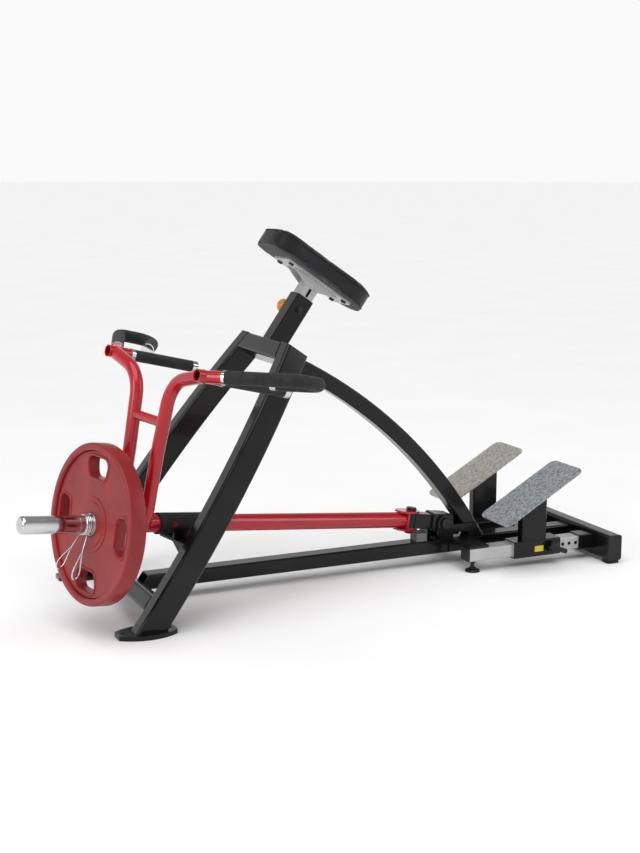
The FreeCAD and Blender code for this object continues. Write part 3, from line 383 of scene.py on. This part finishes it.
quarters = [n * math.pi / 2 for n in range(4)]
windows = [window_outline(turn, 2 * MM) for turn in quarters]
rubber = [
    slab([ring_points(plate_radius), ring_points(RIM_INSIDE)], plate_half * 2, 6 * MM),
    slab([ring_points(WEB_OUTSIDE), ring_points(WEB_INSIDE)] + windows, web_half * 2, 1.5 * MM),
    slab([ring_points(BOSS_OUTSIDE), ring_points(BOSS_INSIDE)], plate_half * 2 - BOSS_DROP, 5 * MM),
    slab([ring_points(STEP_OUTSIDE), ring_points(STEP_INSIDE)], web_half * 2 + STEP_RISE, 2.4 * MM),
]
for turn in quarters:
    lip = [window_outline(turn, WINDOW_LIP), window_outline(turn, 0)]
    rubber.append(slab(lip, web_half * 2 + LIP_RISE, 4.4 * MM))
plate_mesh = joined("plate_rubber", rubber)
plate_mesh.transform(DISC)
soften(plate_mesh, math.radians(40))
piece("plate_rubber", plate_mesh, PLATE_RED, "plate", ["weight_plate"])
hub_mesh = slab([ring_points(HUB_OUTSIDE), ring_points(HUB_INSIDE)], plate_half * 2 - HUB_DROP, 1.2 * MM)
hub_mesh.transform(DISC)
soften(hub_mesh)
piece("plate_hub_ring", hub_mesh, STEEL, "plate")

# ---------------------------------------------------------------- spring collar

WIRE = 2.3 * MM
CLIP_GAP = 0.2 * MM
COIL_TURNS = 3 + 1 / 16
COIL_PITCH = 2.3 * WIRE
COIL_START = math.radians(100)
STEPS_A_TURN = 16
LOOP_HALF_WIDTH = 11 * MM
# Where each finger loop ends: metres along the arm, across it and above it.
INNER_TIP = (1.205, -0.008, -0.150)
OUTER_TIP = (1.266, -0.020, -0.112)
coil_low = reach("spring_collar", ARM_PIN, ARM_OUT)[0]
horn_radius = max(abs(end) for end in reach("weight_horn", ARM_PIN, ARM_ACROSS))
coil_radius = horn_radius + WIRE + CLIP_GAP
coil = []
for step in range(int(COIL_TURNS * STEPS_A_TURN) + 1):
    angle = 2 * math.pi * step / STEPS_A_TURN - COIL_START
    along = coil_low + WIRE + COIL_PITCH * step / STEPS_A_TURN
    coil.append(arm_point(along, coil_radius * math.cos(angle), coil_radius * math.sin(angle)))

# A finger loop's control points: the share of the way to its tip, and the share of its half width.
LOOP_SHAPE = ((0.10, 0), (0.26, 0), (0.42, 0.04), (0.60, 0.50), (0.82, 1.0), (0.95, 0.95), (1.03, 0.3),
              (1.02, -0.45), (0.93, -0.98), (0.78, -0.9), (0.60, -0.42), (0.45, -0.12))


def finger_loop(start, tip):
    """A teardrop of wire from a coil's end: a straight leg, a round turn, and back up to the leg."""
    way = tip - start
    side = way.cross(ARM_ACROSS).normalized() * LOOP_HALF_WIDTH
    return [start + way * down + side * across for down, across in LOOP_SHAPE]


inner_loop = finger_loop(coil[0], arm_point(*INNER_TIP))
outer_loop = finger_loop(coil[-1], arm_point(*OUTER_TIP))
clip_wire = wire(inner_loop[::-1] + coil + outer_loop, WIRE)
piece("spring_clip", clip_wire, CHROME, "collar", ["spring_collar"])

# ---------------------------------------------------------------- cushion

# The cover starts this far inside the CAD outline, rises by the crown in its middle, sinks a little at
# its edges, and stops short of the board's underside.
COVER_INSET = 3.5 * MM
COVER_CROWN = 5 * MM
COVER_SINK = 1.5 * MM
BOARD_MARGIN = 1.5 * MM
SWELL_FRAMES = 20
SWELL_LIMIT = 6 * MM
# Each seam's height from the cushion's top or the board's underside, and its radius.
TOP_SEAM, BOTTOM_SEAM = (9 * MM, 1.3 * MM), (6 * MM, 1.1 * MM)
SEAM_STEPS, SEAM_BAND = 72, 4 * MM


def swell(made):
    """The places of a mesh's vertices after it is blown up a little as cloth."""
    cloth = made.modifiers.new("Cloth", "CLOTH")
    cloth.settings.use_pressure = True
    cloth.settings.uniform_pressure_force = 4.0
    cloth.settings.effector_weights.gravity = 0
    cloth.settings.tension_stiffness = 25
    cloth.settings.compression_stiffness = 25
    cloth.settings.bending_stiffness = 3
    cloth.point_cache.frame_end = SWELL_FRAMES
    for number in range(1, SWELL_FRAMES + 1):
        bpy.context.scene.frame_set(number)
    evaluated = made.evaluated_get(bpy.context.evaluated_depsgraph_get())
    points = [vertex.co.copy() for vertex in evaluated.to_mesh().vertices]
    made.modifiers.clear()
    bpy.context.scene.frame_set(1)
    return points


PAD_ORIGIN = centre_of("pad_cushion")
foam_low, pad_high = reach("pad_cushion", PAD_ORIGIN, PAD_UP)
pad_low = reach("pad_backboard", PAD_ORIGIN, PAD_UP)[0] + BOARD_MARGIN
pad_front, pad_rear = reach("pad_cushion", PAD_ORIGIN, PAD_ALONG)
pad_half = reach("pad_cushion", PAD_ORIGIN, SIDEWAYS)[1]
PAD = Matrix((PAD_ALONG, SIDEWAYS, PAD_UP)).transposed().to_4x4()
PAD.translation = PAD_ORIGIN


def cushion_mesh():
    """Vinyl drawn down over the foam and the board's edge: the CAD outline, swollen, flat underneath."""
    start = NODES["pad_cushion"].data.copy()
    start.transform(PAD.inverted())
    for vertex in start.vertices:
        vertex.co.x *= 1 - COVER_INSET / (pad_rear - pad_front) * 2
        vertex.co.y *= 1 - COVER_INSET / pad_half
        level = (vertex.co.z - foam_low) / (pad_high - foam_low)
        vertex.co.z = pad_low + COVER_INSET + level * (pad_high - pad_low - 2 * COVER_INSET)
    made = bpy.data.objects.new("cushion_start", start)
    bpy.context.scene.collection.objects.link(made)
    remesh = made.modifiers.new("Remesh", "REMESH")
    remesh.mode = "VOXEL"
    remesh.voxel_size = 5 * MM
    smooth = made.modifiers.new("Smooth", "SMOOTH")
    smooth.iterations = 3
    mesh = mesh_of(made)
    made = bpy.data.objects.new("cushion_cloth", mesh)
    bpy.context.scene.collection.objects.link(made)
    for vertex, place in zip(mesh.vertices, swell(made)):
        move = place - vertex.co
        if move.length > SWELL_LIMIT:
            move *= SWELL_LIMIT / move.length
        vertex.co += move
    mesh = mesh_of(made)
    for vertex in mesh.vertices:
        x, y, z = vertex.co
        middle = (1 - (y / pad_half) ** 2) * (1 - (x / pad_rear) ** 4) if abs(x) < pad_rear else 0
        if z > 0:
            z += COVER_CROWN * max(0, middle) - COVER_SINK
        vertex.co.z = min(max(z, pad_low), pad_high + COVER_CROWN)
        vertex.co.x = min(max(x, pad_front), pad_rear)
        vertex.co.y = min(max(y, -pad_half), pad_half)
    made = bpy.data.objects.new("cushion_fine", mesh)
    bpy.context.scene.collection.objects.link(made)
    made.modifiers.new("Subdivision", "SUBSURF").levels = 1
    return mesh_of(made)


def rim_route(mesh, level):
    """Points round the cushion's side at a level, found by looking out from its middle."""
    side = [vertex.co for vertex in mesh.vertices if abs(vertex.co.z - level) < SEAM_BAND]
    route = []
    for n in range(SEAM_STEPS):
        turn = 2 * math.pi * n / SEAM_STEPS
        way = Vector((math.cos(turn), math.sin(turn), 0))
        lined = [co for co in side if co.length > 0.03 and co.xy.normalized().dot(way.xy) > 0.999]
        if lined:
            far = max(lined, key=lambda co: co.xy.length)
            route.append(Vector((*(way.xy * far.xy.length), level)))
    return route


cover = cushion_mesh()
seams = []
for level, radius in ((pad_high - TOP_SEAM[0], TOP_SEAM[1]), (pad_low + BOTTOM_SEAM[0], BOTTOM_SEAM[1])):
    seams.append(wire(rim_route(cover, level), radius, cyclic=True))
cover_mesh = joined("pad_cover", [cover] + seams)
cover_mesh.transform(PAD)
soften(cover_mesh, math.radians(60))
cushion = piece("pad_cover", cover_mesh, VINYL, "pad", ["pad_cushion"])

# ---------------------------------------------------------------- tread pattern and scale labels

# A bar's half length, half width and height, the pitch between bars, and the plain margin of a plate.
BAR_SIZE = (7.5 * MM, 2.3 * MM, 0.9 * MM)
BAR_PITCH = 17 * MM
TREAD_EDGE, TREAD_CORNER = 9 * MM, 24 * MM
# A label's half length, half height, corner, thickness, and place from the riser's and the rail's corner.
LABEL_HALF_X, LABEL_HALF_Z, LABEL_CORNER, LABEL_THICK = 16.5 * MM, 9.5 * MM, 2 * MM, 0.5 * MM
LABEL_ALONG, LABEL_UP, LABEL_OUT = 64 * MM, 19 * MM, 0.15 * MM


def top_plane(node):
    """The normal and the highest level of a plate's largest face that looks up."""
    totals = {}
    for face in NODES[node].data.polygons:
        if face.normal.z > 0.2:
            key = tuple(round(value, 2) for value in face.normal)
            totals[key] = totals.get(key, 0) + face.area
    normal = Vector(max(totals, key=totals.get)).normalized()
    return normal, reach(node, Vector(), normal)[1]


def lozenge(length, width, height):
    """A low raised bar with pointed ends and sloping sides, of half the length and width given."""
    shape = bmesh.new()
    shoulder = length * 0.45
    base = [(-length, 0), (-shoulder, -width), (shoulder, -width)]
    base += [(length, 0), (shoulder, width), (-shoulder, width)]
    low = [shape.verts.new((x, y, -0.2 * MM)) for x, y in base]
    high = [shape.verts.new((x * 0.72, y * 0.45, height)) for x, y in base]
    shape.faces.new(high)
    shape.faces.new(low[::-1])
    for n in range(len(base)):
        after = (n + 1) % len(base)
        shape.faces.new((low[n], low[after], high[after], high[n]))
    mesh = bpy.data.meshes.new("lozenge")
    shape.to_mesh(mesh)
    shape.free()
    return mesh


def tread_pattern(node):
    """Raised bars in a woven pattern over a foot plate, kept off its edges."""
    normal, level = top_plane(node)
    along = SIDEWAYS.cross(normal)
    middle = centre_of(node)
    low, high = reach(node, middle, along)
    half = reach(node, middle, SIDEWAYS)[1]
    bar = lozenge(*BAR_SIZE)
    shape = bmesh.new()
    rows, columns = int((high - low) / BAR_PITCH) + 1, int(2 * half / BAR_PITCH) + 1
    for row in range(rows):
        for column in range(columns):
            x = low + (high - low) / 2 + (row - (rows - 1) / 2) * BAR_PITCH
            y = (column - (columns - 1) / 2) * BAR_PITCH
            past_x = max(0, abs(x - (low + high) / 2) - ((high - low) / 2 - TREAD_CORNER))
            past_y = max(0, abs(y) - (half - TREAD_CORNER))
            if math.hypot(past_x, past_y) > TREAD_CORNER - TREAD_EDGE:
                continue
            base = middle + along * x + SIDEWAYS * y
            base += normal * (level - base.dot(normal))
            lie = 1 if (row + column) % 2 else -1
            turn = Matrix((along, SIDEWAYS, normal)).transposed() @ Matrix.Rotation(lie * math.pi / 4, 3, "Z")
            copy = bar.copy()
            copy.transform(Matrix.Translation(base) @ turn.to_4x4())
            shape.from_mesh(copy)
            bpy.data.meshes.remove(copy)
    mesh = bpy.data.meshes.new("tread_pattern")
    shape.to_mesh(mesh)
    shape.free()
    return mesh


def label_mesh(side, place):
    """A thin blank patch at a place, facing away from the machine's middle."""
    x, z = LABEL_HALF_X, LABEL_HALF_Z
    outline = rounded_outline([(-x, -z), (x, -z), (x, z), (-x, z)], LABEL_CORNER)
    mesh = slab([outline], LABEL_THICK, LABEL_THICK * 0.3)
    turn = Matrix((Vector((-side, 0, 0)), Vector((0, 0, 1)), Vector((0, side, 0)))).transposed().to_4x4()
    mesh.transform(Matrix.Translation(place) @ turn)
    return mesh


for name, side in SIDES:
    body = f"{name}_foot_support"
    piece(f"{name}_tread_bars", tread_pattern(f"{name}_foot_tread"), TREAD[name], body)
    low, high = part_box(f"{name}_riser")
    face_y = high.y if side > 0 else low.y
    rail_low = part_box(f"{name}_foot_rail")[0].z
    place = Vector((low.x + LABEL_ALONG, face_y + side * LABEL_OUT, rail_low + LABEL_UP))
    piece(f"{name}_label", label_mesh(side, place), LABEL, body)

# ---------------------------------------------------------------- camera, light and floor

CAMERA_PLACE = (-1.20736, -4.13396, 1.32732)
CAMERA_WAY = (0.4077, 0.8947, -0.1825)
CAMERA_LENS, CAMERA_SENSOR = 62.88, 36
LAMP_AIM = (0.5, 0, 0.4)
OVERHEAD_SPREAD, OVERHEAD_TILT = math.radians(60), (math.radians(14), math.radians(-10), 0)
FLOOR_RADIUS = 60

camera_data = bpy.data.cameras.new("camera")
camera_data.lens = CAMERA_LENS
camera_data.sensor_width = CAMERA_SENSOR
camera_data.sensor_fit = "AUTO"
camera = bpy.data.objects.new("camera", camera_data)
bpy.context.scene.collection.objects.link(camera)
camera.location = CAMERA_PLACE
camera.rotation_euler = Vector(CAMERA_WAY).to_track_quat("-Z", "Y").to_euler()
bpy.context.scene.camera = camera


def lamp(name, place, size, watts):
    """A soft rectangular light at a place, aimed at the machine."""
    data = bpy.data.lights.new(name, "AREA")
    data.shape = "RECTANGLE"
    data.size, data.size_y = size
    data.energy = watts
    made = bpy.data.objects.new(name, data)
    bpy.context.scene.collection.objects.link(made)
    made.location = place
    made.rotation_euler = (Vector(LAMP_AIM) - Vector(place)).to_track_quat("-Z", "Y").to_euler()


lamp("left_softbox", place=(-3.4, -1.2, 2.2), size=(1.4, 2.2), watts=45)
lamp("right_softbox", place=(3.6, -2.0, 2.0), size=(1.0, 2.2), watts=20)
overhead_data = bpy.data.lights.new("overhead", "SUN")
overhead_data.energy = 2.0
overhead_data.angle = OVERHEAD_SPREAD
overhead = bpy.data.objects.new("overhead", overhead_data)
bpy.context.scene.collection.objects.link(overhead)
overhead.rotation_euler = OVERHEAD_TILT

# The studio's walls: white at the horizon, falling off to grey overhead.
world = bpy.data.worlds.new("studio")
bpy.context.scene.world = world
world.use_nodes = True
tree = world.node_tree
direction = tree.nodes.new("ShaderNodeTexCoord")
height = tree.nodes.new("ShaderNodeSeparateXYZ")
link(tree, direction.outputs["Generated"], height.inputs["Vector"])
wall = ramp(tree, height.outputs["Z"], grey(0.95), grey(0.33), start=0.10, end=0.55)
link(tree, wall, tree.nodes["Background"].inputs["Color"])

floor_mesh = bpy.data.meshes.new("floor")
shape = bmesh.new()
bmesh.ops.create_circle(shape, cap_ends=True, segments=64, radius=FLOOR_RADIUS)
shape.to_mesh(floor_mesh)
shape.free()
floor = bpy.data.objects.new("floor", floor_mesh)
bpy.context.scene.collection.objects.link(floor)
PALE_FLOOR = material(
    "pale_floor", [grey(0.89), grey(0.91)], patch=2, rough=(0.8, 0.9), grain=200, depth=0.00002)
floor_mesh.materials.append(PALE_FLOOR)
bpy.context.scene.view_settings.view_transform = "Standard"
